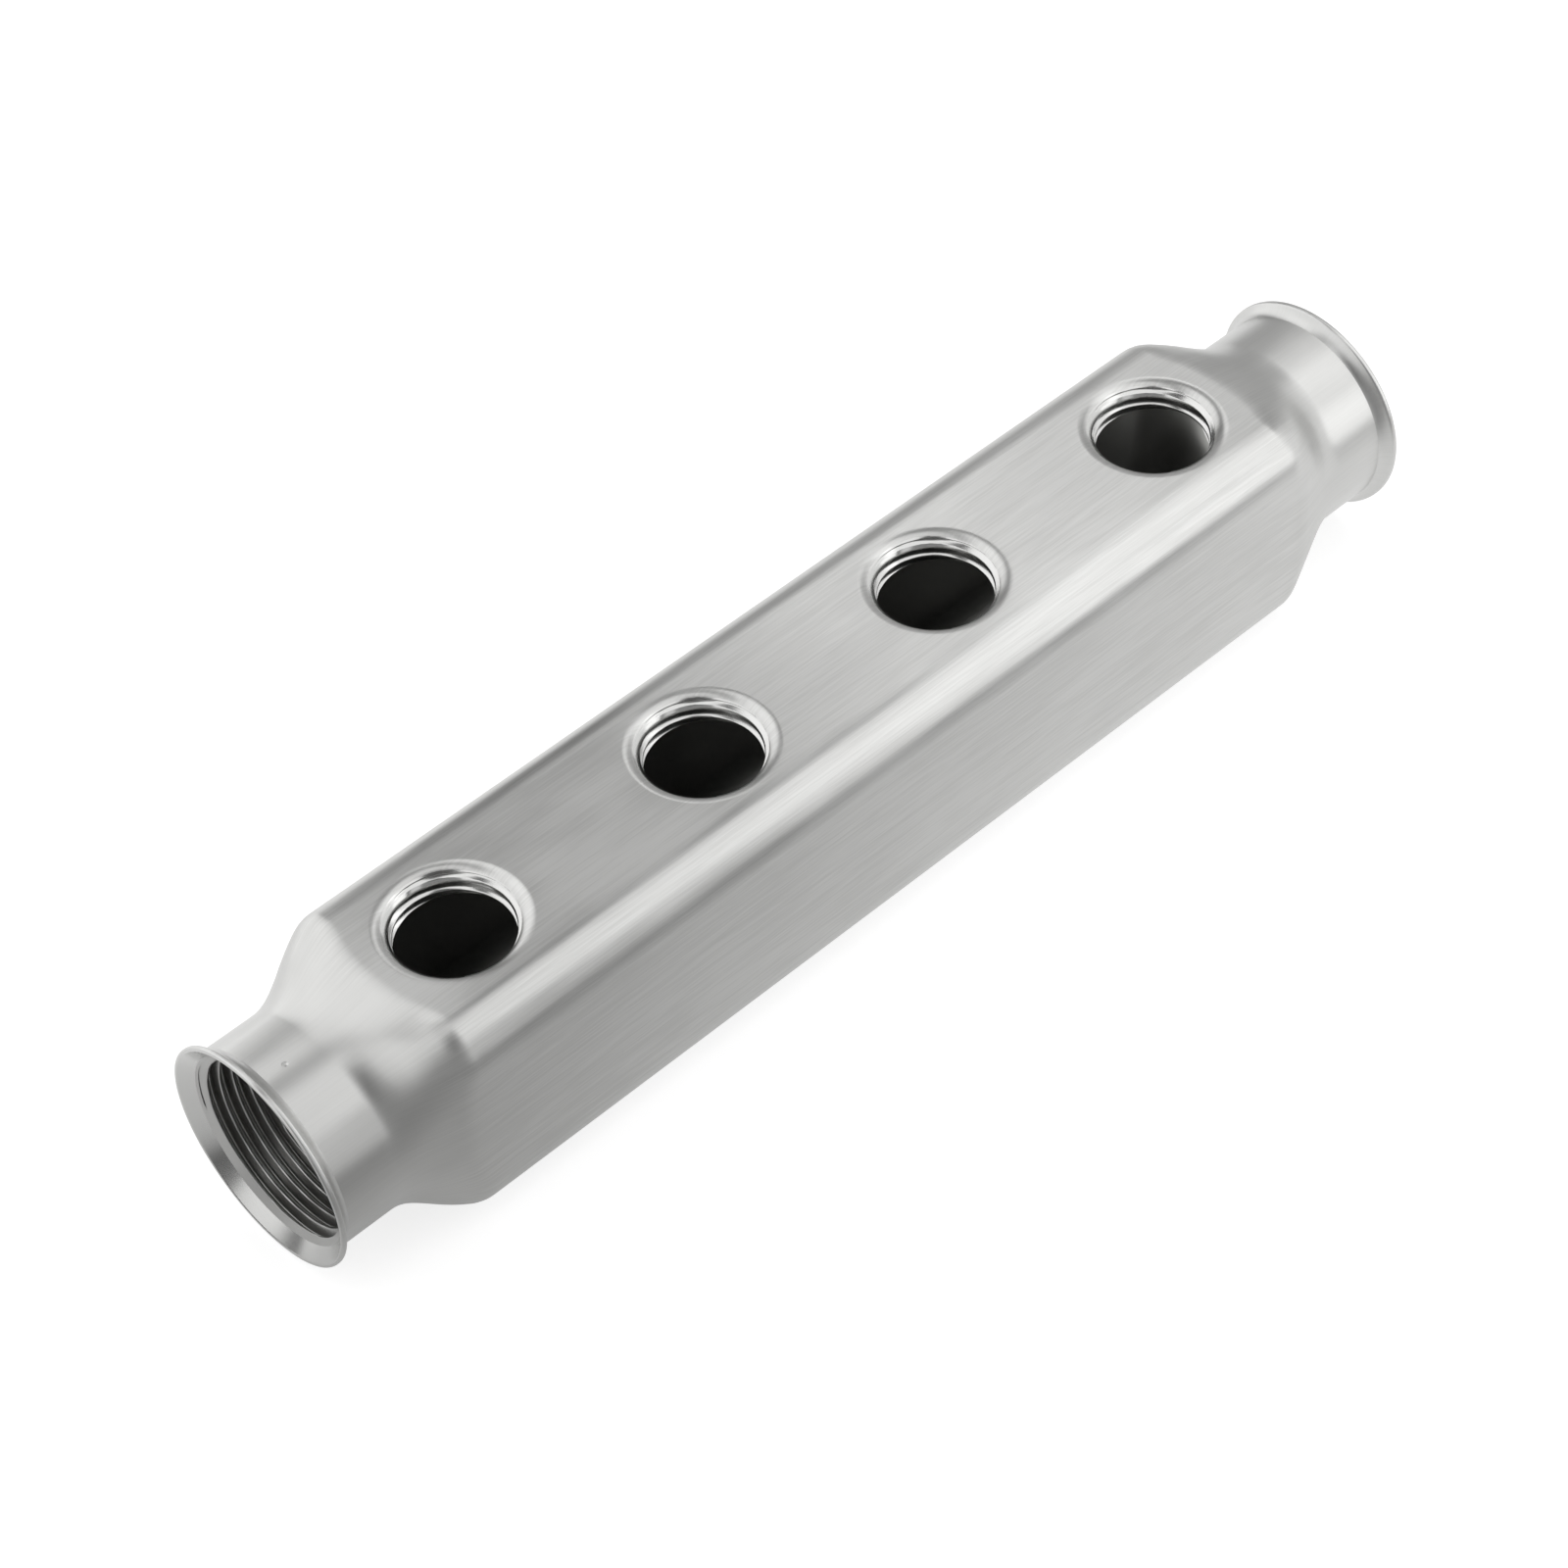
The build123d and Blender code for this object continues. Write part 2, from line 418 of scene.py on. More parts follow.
def hole(centre):
    """The mouth and threaded wall: a quarter circle, then a cylinder, both tapped."""

    def surface(run, turn):
        sweep = np.minimum(run / MOUTH_ROUND, math.pi / 2)
        radius = OUTLET_RADIUS + MOUTH_ROUND * (1 - np.sin(sweep))
        depth = MOUTH_ROUND * (1 - np.cos(sweep)) + np.maximum(run - ROUND_RUN, 0)
        cut = tap_cut(-depth, turn + OUTLET_PHASE, OUTLET_RADIUS, OUTLET_PITCH)
        return ring(centre, wider(radius, cut), TOP - depth, turn)

    return surface


def collar_foot(centre):
    """The level ring under the collar, from the threaded wall to its outside."""

    def surface(share, turn):
        cut = tap_cut(-COLLAR_DEPTH, turn + OUTLET_PHASE, OUTLET_RADIUS, OUTLET_PITCH)
        inner = wider(OUTLET_RADIUS, cut)
        return ring(centre, inner + (COLLAR_RADIUS - inner) * share, TOP - COLLAR_DEPTH, turn)

    return surface


def collar_outside(centre):
    """The collar's outer wall, and the quarter circle that joins it to the ceiling."""
    wall_run = COLLAR_DEPTH - WALL - COLLAR_ROOT

    def surface(run, turn):
        sweep = np.clip((run - wall_run) / COLLAR_ROOT, 0, math.pi / 2)
        radius = COLLAR_RADIUS + COLLAR_ROOT * (1 - np.cos(sweep))
        height = TOP - COLLAR_DEPTH + np.minimum(run, wall_run) + COLLAR_ROOT * np.sin(sweep)
        return ring(centre, radius, height, turn)

    return surface


def square_to_circle(centre, radius, height):
    """A level patch between a square's edge and a circle.

    A point is the share-weighted mean of the points on both in the same direction.
    """

    def surface(share, turn):
        c, s = np.cos(turn), np.sin(turn)
        far = np.maximum(np.abs(c), np.abs(s))
        x = PATCH_HALF * c / far * (1 - share) + radius * c * share
        y = FLAT_HALF * s / far * (1 - share) + radius * s * share
        return np.stack([centre + x, y, height + 0 * x], axis=-1)

    return surface


# %% Rows of an outlet's grids
PLAIN_SHARE = 0.36
PLAIN_ROUND = PLAIN_SHARE * ROUND_RUN
PLAIN_ROWS, FINE_ROWS, ROOT_ROWS, PATCH_ROWS = 6, 62, 6, 2
plain_runs = np.linspace(0, PLAIN_ROUND, PLAIN_ROWS + 1)
fine_runs = np.linspace(PLAIN_ROUND, HOLE_RUN, FINE_ROWS + 1)
root_runs = np.linspace(0, COLLAR_ROOT * math.pi / 2, ROOT_ROWS + 1)
mouth_runs = np.concatenate([plain_runs[:-1], fine_runs])
outside_runs = np.concatenate([[0], root_runs + COLLAR_DEPTH - WALL - COLLAR_ROOT])
print(len(mouth_runs), "rows down an outlet,", len(ring_angles) - 1, "columns round it")

# %% Make the outlets
GROOVE_HALF = 0.4
PLAIN_DEPTH = 0.5


def level(points, sign, finish):
    """A flat grid, all of whose normals point straight up or down."""
    normals = np.zeros_like(points)
    normals[..., 2] = sign
    return {"points": points, "normals": normals, "finish": finish}


def hole_finish():
    """Cut metal from the first groove down, and brushed metal on the mouth above it.

    The groove's depth is pitch times the part of a turn that is left to go.
    """
    middles = [(steps[1:] + steps[:-1]) / 2 for steps in (mouth_runs, ring_angles)]
    run, turn = np.meshgrid(*middles, indexing="ij")
    depth = MOUTH_ROUND * (1 - np.cos(np.minimum(run / MOUTH_ROUND, math.pi / 2)))
    groove = OUTLET_PITCH * (1 - np.mod((turn + OUTLET_PHASE) / (2 * math.pi), 1))
    cut_from = np.maximum(groove - GROOVE_HALF, PLAIN_DEPTH)
    return np.where(depth > cut_from, CUT, BRUSHED).reshape(-1)


def outlet(centre):
    """All the grids of one outlet."""
    fractions, turns = np.meshgrid(np.linspace(0, 1, PATCH_ROWS + 1), ring_angles, indexing="ij")
    mouth = OUTLET_RADIUS + MOUTH_ROUND
    ceiling = TOP - WALL
    root = COLLAR_RADIUS + COLLAR_ROOT
    return [
        level(square_to_circle(centre, mouth, TOP)(fractions, turns), 1, BRUSHED),
        level(square_to_circle(centre, root, ceiling)(fractions, turns), -1, INSIDE),
        level(collar_foot(centre)(fractions, turns), -1, INSIDE),
        facing(grid(hole(centre), mouth_runs, ring_angles, hole_finish()), -1),
        facing(grid(collar_outside(centre), outside_runs, ring_angles, INSIDE), -1),
    ]


for centre in OUTLETS:
    patches += outlet(centre)

# %% Flat stretches between the outlets
for centre in OUTLETS[:-1]:
    x, y = np.meshgrid(gap_rows + centre - OUTLETS[0], FLAT_HALF * side_spread, indexing="ij")
    patches.append(level(np.stack([x, y, TOP + 0 * x], axis=-1), 1, BRUSHED))
    patches.append(level(np.stack([x, y, TOP - WALL + 0 * x], axis=-1), -1, INSIDE))
print(len(patches), "grids with the outlets")

# %% [markdown]
# ## Necks, lips and seats
# A lip is turned: one profile, carried round the tube's axis. From the neck it
# creases up into a hollow flare, rounds over a narrow rim, crosses the front land
# and goes down the seat's cone into the threaded bore. Each stretch of the profile
# is its own grid, so the creases stay crisp and the rounded corners stay round. The
# Spin tool does the same from a drawn line, but here the normals are exact too.

# %% Curves of the lip's profile


def straight(start, end, count):
    """Points along a line."""
    t = np.linspace(0, 1, count + 1)[:, None]
    return np.array(start) * (1 - t) + np.array(end) * t


def bend(start, corner, end, count):
    """A curved corner: (1-t)^2 start + 2t(1-t) corner + t^2 end."""
    t = np.linspace(0, 1, count + 1)[:, None]
    return (1 - t) ** 2 * np.array(start) + 2 * t * (1 - t) * np.array(corner) + t**2 * np.array(end)


def hollow(start, end, slopes, count, stop):
    """A cubic curve with a given slope at each end, followed up to a share of it."""
    t = np.linspace(0, stop, count + 1)[:, None]
    start, end = np.array(start), np.array(end)
    chord = np.linalg.norm(end - start)
    leave, arrive = [chord * np.array([1, s]) / math.hypot(1, s) for s in slopes]
    return (
        (2 * t**3 - 3 * t**2 + 1) * start
        + (t**3 - 2 * t**2 + t) * leave
        + (3 * t**2 - 2 * t**3) * end
        + (t**3 - t**2) * arrive
    )


# %% The lip's profile
CORNER_CUT = 0.22
FLARE_STOP = 0.86
NECK_ROWS, FLARE_ROWS, BACK_ROWS, RIM_ROWS, SEAT_ROWS = 4, 10, 5, 6, 4
rim_back = HALF_LENGTH - LIP_EDGE
crease = rim_back - FLARE_LENGTH
seat_mouth = LIP_RADIUS - SEAT_RIM
seat_floor = END_RADIUS + THREAD_DEPTH_SHARE * END_PITCH
seat_end = HALF_LENGTH - SEAT_DEPTH

flare = hollow((crease, NECK_RADIUS), (rim_back, LIP_RADIUS), FLARE_SLOPES, FLARE_ROWS, FLARE_STOP)
flare_end = flare[-1]
flare_way = flare[-1] - flare[-2]
flare_corner = flare_end + flare_way * (LIP_RADIUS - flare_end[1]) / flare_way[1]
rim_start = flare_corner + np.array([CORNER_CUT, 0])
seat_way = np.array([-SEAT_DEPTH, seat_floor - seat_mouth])
seat_way /= np.linalg.norm(seat_way)
seat_start = np.array([HALF_LENGTH, seat_mouth]) + CORNER_CUT * seat_way
land_end = (HALF_LENGTH, seat_mouth + CORNER_CUT / 2)

profile = [
    straight((NECK_BASE, NECK_RADIUS), (crease, NECK_RADIUS), NECK_ROWS),
    flare,
    bend(flare_end, flare_corner, rim_start, BACK_ROWS),
    straight(rim_start, (HALF_LENGTH - LIP_ROUND, LIP_RADIUS), 1),
    bend(
        (HALF_LENGTH - LIP_ROUND, LIP_RADIUS),
        (HALF_LENGTH, LIP_RADIUS),
        (HALF_LENGTH, LIP_RADIUS - LIP_ROUND),
        RIM_ROWS,
    ),
    straight((HALF_LENGTH, LIP_RADIUS - LIP_ROUND), land_end, 1),
    bend(land_end, (HALF_LENGTH, seat_mouth), seat_start, SEAT_ROWS),
    straight(seat_start, (seat_end, seat_floor), SEAT_ROWS),
]
print("lip radius", round(LIP_RADIUS, 2), "seat from", round(seat_mouth, 2), "to", round(seat_floor, 2))

# %% Carry the profile round the axis


def turned(curve, end, finish):
    """A grid from a profile of (along, radius) points, with its normals.

    The normal is the profile's direction turned by a quarter, to the outside.
    """
    way = np.gradient(curve, axis=0)
    way /= np.linalg.norm(way, axis=1, keepdims=True)
    along, radius = curve[:, :1], curve[:, 1:]
    out, side = way[:, :1], -way[:, 1:]
    s, c = np.sin(neck_angles)[None], np.cos(neck_angles)[None]
    points = np.stack([end * along + 0 * s, radius * s, AXIS_HEIGHT + radius * c], axis=-1)
    normals = np.stack([end * side + 0 * s, out * s, out * c], axis=-1)
    return {"points": points, "normals": normals, "finish": finish}


def end_bore(end):
    """The threaded bore: an entry cone, then a cylinder, both tapped.

    The tap's cut shrinks away at the seat and just before the shoulder.
    """

    def surface(along, turn):
        depth = seat_end - along
        cone = seat_floor - (seat_floor - END_RADIUS) * depth / BORE_ENTRY
        radius = np.maximum(cone, END_RADIUS)
        cut = tap_cut(-end * along, turn + END_PHASE, END_RADIUS, END_PITCH)
        full = np.clip((along - NECK_BASE) / RUN_OUT, 0, 1) * np.clip(depth / RUN_IN, 0, 1)
        shrunk = (1 - full) * (THREAD_DEPTH_SHARE * END_PITCH + CREST_SOFTNESS)
        radius = wider(radius, cut - shrunk)
        s, c = np.sin(turn), np.cos(turn)
        return np.stack([end * along + 0 * s, radius * s, AXIS_HEIGHT + radius * c], axis=-1)

    return surface


# %% Make both ends
END_ROWS = 84
END_PHASE = -1.76
RUN_IN = 0.4
RUN_OUT = 1.2
bore_rows = np.linspace(seat_end, NECK_BASE, END_ROWS + 1)
for end in (-1, 1):
    patches += [turned(curve, end, BRUSHED) for curve in profile[:-2]]
    patches += [turned(curve, end, CUT) for curve in profile[-2:]]
    patches.append(facing(grid(end_bore(end), bore_rows, neck_angles, BORE), -end))
print(len(patches), "grids in all")

# %% Weld the skin and check that it is closed
points, quads, corner_normals, finishes = weld(patches)
edges = np.sort(np.stack([quads, np.roll(quads, -1, axis=1)], axis=-1).reshape(-1, 2), axis=1)
_, uses = np.unique(edges, axis=0, return_counts=True)
print(len(points), "points", len(quads), "quads", "edges not shared by two faces:", (uses != 2).sum())

# A face is two triangles, and a triangle and the origin make a sixth of a box
a, b, c, d = [points[quads[:, i]] for i in range(4)]
volume = (a * (np.cross(b, c) + np.cross(c, d))).sum() / 6
print("volume", round(volume), "cubic mm")

# %% Put the skin into a mesh
mesh = bpy.data.meshes.new("manifold")
mesh.from_pydata((points * MM).tolist(), [], quads.tolist(), shade_flat=False)
mesh.normals_split_custom_set(corner_normals.reshape(-1, 3).tolist())
mesh.polygons.foreach_set("material_index", finishes.astype(np.int32))
manifold = bpy.data.objects.new("manifold", mesh)
bpy.context.scene.collection.objects.link(manifold)
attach(manifold, "root")
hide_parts("manifold_body")

# %% [markdown]
# ## Materials
# All the metal is one stainless steel, seen in four states. The outside is brushed
# along the tube. Toward the pressed ends its lines grow faint, the shoulders are
# duller, and the necks are a little uneven, with a small pit on the front neck whose
# darker colour is painted shade in its hollow. The outlets' threads and the seats
# are cut, which leaves them bright. The end bores are cut too, but duller, and their
# darker colour is painted shade in the bores. The inside is as drawn and rougher,
# and its dark colour is painted shade inside the tube. The lines could be an image
# stretched along the tube, but stretched noise needs no file and stays sharp close
# up. It changes the colour alone, because a bump that fine only makes the metal
# glitter. What the finishes have in common is a node group, made once and placed
# in each of them.

# %% Node helpers


def new_group(name, *outputs):
    """An empty node group, with one output for each value that it hands out."""
    tree = bpy.data.node_groups.new(name, "ShaderNodeTree")
    for label in outputs:
        tree.interface.new_socket(label, in_out="OUTPUT", socket_type="NodeSocketFloat")
    return tree


def node(tree, kind, **settings):
    """Add a node, set its properties, and its input values by name."""
    made = tree.nodes.new(kind)
    for key, value in settings.items():
        if key in made.inputs:
            made.inputs[key].default_value = value
        else:
            setattr(made, key, value)
    return made


def noise(tree, vector, stretch, detail, roughness):
    """Noise over coordinates that are multiplied by a stretch, in waves per metre."""
    scaled = node(tree, "ShaderNodeVectorMath", operation="MULTIPLY")
    scaled.inputs[1].default_value = stretch
    tree.links.new(vector, scaled.inputs[0])
    texture = node(tree, "ShaderNodeTexNoise", Scale=1.0, Detail=detail, Roughness=roughness)
    tree.links.new(scaled.outputs[0], texture.inputs["Vector"])
    return texture.outputs["Fac"]


def ramp(tree, value, start, end, low, high):
    """A value carried smoothly from one range to another, and held inside it."""
    made = node(tree, "ShaderNodeMapRange", interpolation_type="SMOOTHSTEP")
    for label, number in (("From Min", start), ("From Max", end), ("To Min", low), ("To Max", high)):
        made.inputs[label].default_value = number
    tree.links.new(value, made.inputs["Value"])
    return made.outputs["Result"]


def combine(tree, operation, first, second=0):
    """Arithmetic on two values, where the second may be a plain number."""
    made = node(tree, "ShaderNodeMath", operation=operation)
    tree.links.new(first, made.inputs[0])
    if isinstance(second, (int, float)):
        made.inputs[1].default_value = second
    else:
        tree.links.new(second, made.inputs[1])
    return made.outputs[0]


# %% Effect: where on the tube
BODY_FADE = (BODY_HALF_LENGTH - 2, NECK_BASE - 4)
PRESS_START = (BODY_HALF_LENGTH - 1, BODY_HALF_LENGTH + 4)
PRESS_STOP = (NECK_BASE - 4, NECK_BASE + 1)


def fade(tree, value, span, low, high):
    """A value in metres carried over a span in millimetres, as in ramp."""
    return ramp(tree, value, span[0] * MM, span[1] * MM, low, high)


def along_tube():
    """Group: Body is 1 on the straight body and 0 on the necks, Pressed 1 between."""
    tree = new_group("along_tube", "Body", "Pressed")
    place = node(tree, "ShaderNodeTexCoord")
    parts = node(tree, "ShaderNodeSeparateXYZ")
    tree.links.new(place.outputs["Object"], parts.inputs[0])
    distance = combine(tree, "ABSOLUTE", parts.outputs["X"])
    body = fade(tree, distance, BODY_FADE, 1, 0)
    leaving = fade(tree, distance, PRESS_START, 0, 1)
    arriving = fade(tree, distance, PRESS_STOP, 1, 0)
    out = node(tree, "NodeGroupOutput")
    tree.links.new(body, out.inputs["Body"])
    tree.links.new(combine(tree, "MULTIPLY", leaving, arriving), out.inputs["Pressed"])
    return tree


# %% Effect: lines, marks and waves
# Waves per metre along, across and up. Each face is 20 mm from the axis, and there
# 3170 and 680 fall between whole waves, at which noise would be flat.
FINE_LINES = (90, 3170, 3170)
BROAD_LINES = (30, 680, 680)
HANDLING = (38, 60, 60)
PRESS_WAVES = (40, 70, 70)
FINE_SHARE = 0.85
LEAST_DIVISOR = 0.1


def spread_on_square(tree):
    """Object coordinates with each section of the tube spread out to the square body.

    Lines that run along the body then also follow the slope of a shoulder. Across
    the tube both coordinates are divided by the larger of them over the half width.
    The plain object coordinates are handed back beside the spread ones.
    """
    place = node(tree, "ShaderNodeTexCoord")
    parts = node(tree, "ShaderNodeSeparateXYZ")
    tree.links.new(place.outputs["Object"], parts.inputs[0])
    across = parts.outputs["Y"]
    up = combine(tree, "SUBTRACT", parts.outputs["Z"], AXIS_HEIGHT * MM)
    sizes = [combine(tree, "ABSOLUTE", side) for side in (across, up)]
    sizes = [combine(tree, "MULTIPLY", size, 1 / BODY_HALF / MM) for size in sizes]
    larger = combine(tree, "MAXIMUM", sizes[0], sizes[1])
    larger = combine(tree, "MAXIMUM", larger, LEAST_DIVISOR)
    spread = node(tree, "ShaderNodeCombineXYZ")
    tree.links.new(parts.outputs["X"], spread.inputs["X"])
    tree.links.new(combine(tree, "DIVIDE", across, larger), spread.inputs["Y"])
    tree.links.new(combine(tree, "DIVIDE", up, larger), spread.inputs["Z"])
    return spread.outputs[0], place.outputs["Object"]


def brush_lines():
    """Group: fine lines along the tube, soft marks of handling, and a press's waves.

    The lines are the mean of two noises, weighted by the share of the finer one.
    """
    tree = new_group("brush_lines", "Lines", "Marks", "Waves")
    spread, place = spread_on_square(tree)
    fine = combine(tree, "MULTIPLY", noise(tree, spread, FINE_LINES, 2, 0.6), FINE_SHARE)
    broad = combine(tree, "MULTIPLY", noise(tree, spread, BROAD_LINES, 2, 0.5), 1 - FINE_SHARE)
    out = node(tree, "NodeGroupOutput")
    tree.links.new(combine(tree, "ADD", fine, broad), out.inputs["Lines"])
    tree.links.new(noise(tree, place, HANDLING, 2, 0.5), out.inputs["Marks"])
    tree.links.new(noise(tree, place, PRESS_WAVES, 0, 0.4), out.inputs["Waves"])
    return tree


# %% Effect: the pit, placed in metres as Object coordinates are
PIT_PLACE = (-0.1084, -0.0017, 0.0374)
PIT_RADIUS = 0.00055
PIT_FLOOR = 0.2 * PIT_RADIUS


def pit():
    """Group: 1 in the small pit on the front neck, and 0 away from it.

    It falls with the distance from the pit's place, from its floor to its radius.
    """
    tree = new_group("pit", "Pit")
    place = node(tree, "ShaderNodeTexCoord")
    away = node(tree, "ShaderNodeVectorMath", operation="DISTANCE")
    away.inputs[1].default_value = PIT_PLACE
    tree.links.new(place.outputs["Object"], away.inputs[0])
    mask = ramp(tree, away.outputs["Value"], PIT_FLOOR, PIT_RADIUS, 1, 0)
    tree.links.new(mask, node(tree, "NodeGroupOutput").inputs["Pit"])
    return tree


# %% Build the effects
ALONG = along_tube()
LINES = brush_lines()
PIT = pit()
print("effects", [group.name for group in (ALONG, LINES, PIT)])

# %% Material helpers


def effect(tree, group):
    """Place an effect in a material, and hand back its outputs."""
    made = tree.nodes.new("ShaderNodeGroup")
    made.node_tree = group
    return made.outputs


def metal(name):
    """A material whose shader is fully metallic."""
    material = bpy.data.materials.new(name)
    material.use_nodes = True
    tree = material.node_tree
    shader = tree.nodes["Principled BSDF"]
    shader.inputs["Metallic"].default_value = 1
    return material, tree, shader


def tint(tree, value, dark, pale):
    """A colour between two, by a value from 0 to 1.

    A Mix node has sockets for each kind of data: 6, 7 and 2 are the colour ones.
    """
    made = node(tree, "ShaderNodeMix", data_type="RGBA")
    made.inputs[6].default_value = (*dark, 1)
    made.inputs[7].default_value = (*pale, 1)
    tree.links.new(value, made.inputs[0])
    return made.outputs[2]


# %% Brushed steel: its colour
DARK_LINE, PALE_LINE = (0.52, 0.52, 0.51), (0.6, 0.6, 0.59)
LINES_ON_NECK_AND_BODY = (0.2, 0.65)
MARKS_IN_TONE = 0.4
PIT_SHADE_IN_TONE = 4.0
TONE_SPAN = (0.06, 0.34)

material, tree, shader = metal("brushed_steel")
where = effect(tree, ALONG)
lines = effect(tree, LINES)
dent = effect(tree, PIT)["Pit"]
tone = combine(tree, "SUBTRACT", lines["Lines"], 0.5)
tone = combine(tree, "MULTIPLY", tone, ramp(tree, where["Body"], 0, 1, *LINES_ON_NECK_AND_BODY))
tone = combine(tree, "ADD", tone, combine(tree, "MULTIPLY", lines["Marks"], MARKS_IN_TONE))
tone = ramp(tree, tone, *TONE_SPAN, 0, 1)
# The pit's colour is painted darker: painted shade in its hollow, on top of its dent.
tone = combine(tree, "SUBTRACT", tone, combine(tree, "MULTIPLY", dent, PIT_SHADE_IN_TONE))
tree.links.new(tint(tree, tone, DARK_LINE, PALE_LINE), shader.inputs["Base Color"])
mesh.materials.append(material)

# %% Brushed steel: its roughness and unevenness
ROUGHNESS_ON_NECK_AND_BODY = (0.29, 0.31)
WAVES_ON_NECK_AND_BODY = (1, 0.12)
PRESSED_DULLNESS = 0.07
MARKS_SPAN = (0.35, 0.7)
MARKS_DULLNESS = (-0.01, 0.06)
PIT_DEPTH = 0.4
WAVE_HEIGHT = 2e-4

rough = ramp(tree, where["Body"], 0, 1, *ROUGHNESS_ON_NECK_AND_BODY)
rough = combine(tree, "ADD", rough, combine(tree, "MULTIPLY", where["Pressed"], PRESSED_DULLNESS))
rough = combine(tree, "ADD", rough, ramp(tree, lines["Marks"], *MARKS_SPAN, *MARKS_DULLNESS))
tree.links.new(rough, shader.inputs["Roughness"])

waviness = ramp(tree, where["Body"], 0, 1, *WAVES_ON_NECK_AND_BODY)
height = combine(tree, "MULTIPLY", lines["Waves"], waviness)
height = combine(tree, "SUBTRACT", height, combine(tree, "MULTIPLY", dent, PIT_DEPTH))
uneven = node(tree, "ShaderNodeBump", Distance=WAVE_HEIGHT, Strength=1.0)
tree.links.new(height, uneven.inputs["Height"])
tree.links.new(uneven.outputs[0], shader.inputs["Normal"])

# %% Cut steel, inside steel and the end bores' steel
WEAR_SPAN = (0.3, 0.7)


def worn_metal(name, dark, pale, roughness, patchy):
    """Add a metal whose colour and roughness vary with the marks of handling.

    Where it is patchy the marks go all the way from the dark to the pale colour.
    """
    material, tree, shader = metal(name)
    marks = effect(tree, LINES)["Marks"]
    tone = ramp(tree, marks, *WEAR_SPAN, 0, 1) if patchy else marks
    tree.links.new(tint(tree, tone, dark, pale), shader.inputs["Base Color"])
    tree.links.new(ramp(tree, marks, *WEAR_SPAN, *roughness), shader.inputs["Roughness"])
    mesh.materials.append(material)


worn_metal("cut_steel", (0.56, 0.56, 0.55), (0.64, 0.64, 0.63), (0.16, 0.26), False)
# The inside's dark colours are painted shade inside the tube; its roughness is its own.
worn_metal("inside_steel_painted_shade", (0.24, 0.24, 0.23), (0.34, 0.34, 0.33), (0.36, 0.5), False)
# The end bores' colours are painted darker than the cut threads: painted shade in the bores. Their
# higher roughness is their own.
worn_metal("bore_steel_painted_shade", (0.42, 0.42, 0.41), (0.5, 0.5, 0.49), (0.28, 0.36), True)
print("finishes in order", [material.name for material in mesh.materials])

# %% [markdown]
# ## Floor, world and soft boxes
# Polished metal is mostly a picture of its surroundings, so the light is a tent of
# seventeen soft boxes round the part. The brightest are overhead at the back and in
# front at the right. The dimmest stand at the front left and the back right, where
# the metal shows its darker tones. The floor glows for the camera, which makes it
# white and keeps the soft shadow. In the metal its glow fades out toward the front
# left, or the near end would be lit from below and lose its form. A studio picture
# wrapped round the world could do the same, but boxes can be moved one at a time
# until each face has the photograph's tone.

# %% Floor
FLOOR_HALF = 3.0
floor_mesh = bpy.data.meshes.new("floor")
corners = [(-FLOOR_HALF, -FLOOR_HALF, 0), (FLOOR_HALF, -FLOOR_HALF, 0)]
corners += [(FLOOR_HALF, FLOOR_HALF, 0), (-FLOOR_HALF, FLOOR_HALF, 0)]
floor_mesh.from_pydata(corners, [], [(0, 1, 2, 3)])
floor = bpy.data.objects.new("floor", floor_mesh)
bpy.context.scene.collection.objects.link(floor)
print("floor", 2 * FLOOR_HALF, "m wide")

# %% The floor's paint
FLOOR_COLOUR = 0.42
FLOOR_ROUGHNESS = 0.9
floor_paint = bpy.data.materials.new("floor_paint")
floor_paint.use_nodes = True
tree = floor_paint.node_tree
shader = tree.nodes["Principled BSDF"]
shader.inputs["Base Color"].default_value = (FLOOR_COLOUR, FLOOR_COLOUR, FLOOR_COLOUR, 1)
shader.inputs["Roughness"].default_value = FLOOR_ROUGHNESS
shader.inputs["Specular IOR Level"].default_value = 0
shader.inputs["Emission Color"].default_value = (1, 1, 1, 1)
floor_mesh.materials.append(floor_paint)

# %% The floor's glow, for the camera and in metal
FLOOR_GLOW = 0.74
FLOOR_GLOW_IN_METAL = 0.68
FLOOR_LEAN = 0.4
FLOOR_FADE = (-0.125, 0.02)
path = node(tree, "ShaderNodeLightPath")
seen = combine(tree, "MAXIMUM", path.outputs["Is Glossy Ray"], path.outputs["Is Transmission Ray"])
spot = node(tree, "ShaderNodeSeparateXYZ")
tree.links.new(node(tree, "ShaderNodeTexCoord").outputs["Object"], spot.inputs[0])
leaning = combine(tree, "MULTIPLY", spot.outputs["X"], FLOOR_LEAN)
backward = combine(tree, "ADD", leaning, spot.outputs["Y"])
fading = ramp(tree, backward, *FLOOR_FADE, 0, FLOOR_GLOW_IN_METAL)
seen = combine(tree, "MULTIPLY", seen, fading)
camera_glow = combine(tree, "MULTIPLY", path.outputs["Is Camera Ray"], FLOOR_GLOW)
tree.links.new(combine(tree, "ADD", camera_glow, seen), shader.inputs["Emission Strength"])

# %% World
WORLD_LEVEL = 0.1
world = bpy.data.worlds.new("world")
bpy.context.scene.world = world
world.use_nodes = True
backdrop = world.node_tree.nodes["Background"]
backdrop.inputs["Color"].default_value = (WORLD_LEVEL, WORLD_LEVEL, WORLD_LEVEL, 1)
print("world level", WORLD_LEVEL)

# %% Soft boxes


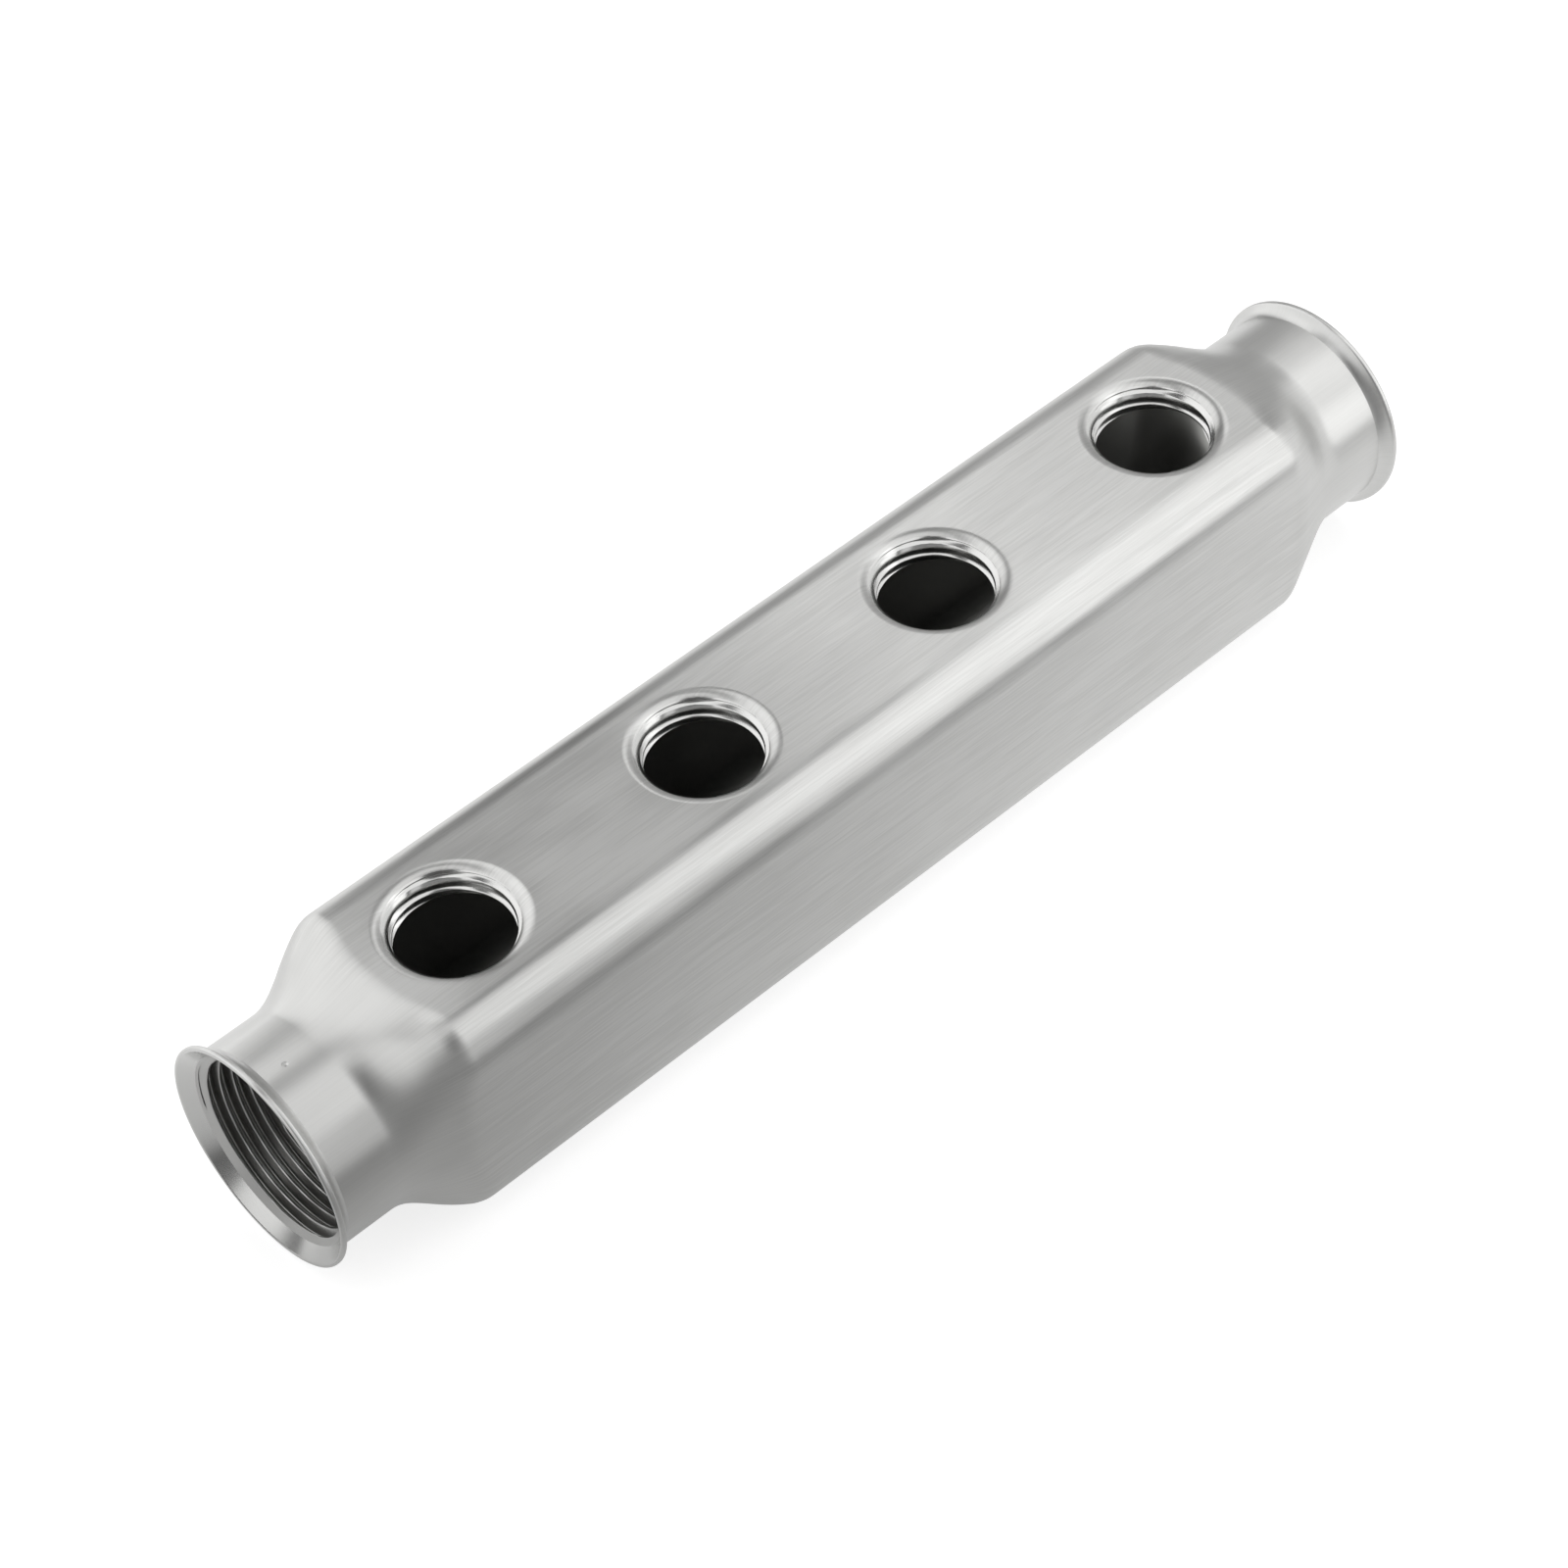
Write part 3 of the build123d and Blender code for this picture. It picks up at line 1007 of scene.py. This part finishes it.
def soft_box(name, place, facing_way, width, height, brightness):
    """Add a rectangular lamp of even brightness, which faces the given way.

    Its power is brightness times area times pi.
    """
    data = bpy.data.lights.new(name, "AREA")
    data.shape = "RECTANGLE"
    data.size = width
    data.size_y = height
    data.energy = brightness * width * height * math.pi
    box = bpy.data.objects.new(name, data)
    box.location = place
    box.rotation_euler = Vector(facing_way).to_track_quat("-Z", "Y").to_euler()
    box.visible_camera = False
    bpy.context.scene.collection.objects.link(box)


DOWN, FROM_FRONT, FROM_BACK = (0, 0, -1), (0, 1, 0), (0, -1, 0)
FROM_RIGHT, FROM_LEFT = (-1, 0, 0), (1, 0, 0)
soft_box("key_overhead", (0.525, -0.275, 0.45), DOWN, 0.55, 0.55, 1.15)
soft_box("key_core", (0.32, -0.275, 0.44), DOWN, 0.14, 0.55, 0.65)
soft_box("overhead_front", (0.11, -0.265, 0.45), DOWN, 0.27, 0.57, 1.15)
soft_box("overhead_near", (-0.16, -0.04, 0.45), DOWN, 0.28, 0.12, 1.3)
soft_box("overhead_left", (-0.16, 0.335, 0.45), DOWN, 0.28, 0.43, 1.35)
soft_box("overhead_middle", (0.035, 0.335, 0.45), DOWN, 0.11, 0.43, 1.45)
soft_box("overhead_back", (0.33, 0.275, 0.45), DOWN, 0.16, 0.55, 1.75)
soft_box("overhead_right", (0.61, 0.275, 0.45), DOWN, 0.38, 0.55, 0.35)
soft_box("key_front", (0.525, -0.55, 0.225), FROM_FRONT, 0.55, 0.45, 1.6)
soft_box("front_strip", (0.07, -0.55, 0.225), FROM_FRONT, 0.19, 0.45, 0.8)
soft_box("back_left", (-0.095, 0.55, 0.225), FROM_BACK, 0.41, 0.45, 1.25)
soft_box("back_right", (0.525, 0.55, 0.225), FROM_BACK, 0.55, 0.45, 0.4)
soft_box("front_fill", (-0.16, -0.55, 0.225), FROM_FRONT, 0.27, 0.45, 0.25)
soft_box("left_fill", (-0.3, -0.35, 0.225), FROM_LEFT, 0.39, 0.45, 0.25)
soft_box("right", (0.8, -0.2, 0.225), FROM_RIGHT, 0.7, 0.45, 0.95)
soft_box("right_back", (0.8, 0.35, 0.225), FROM_RIGHT, 0.4, 0.45, 0.35)
soft_box("left", (-0.3, 0.2, 0.25), FROM_LEFT, 0.7, 0.4, 1.15)

bpy.context.scene.view_settings.view_transform = "Standard"
lamps = [lamp for lamp in bpy.context.scene.objects if lamp.type == "LIGHT"]
print(len(lamps), "soft boxes")
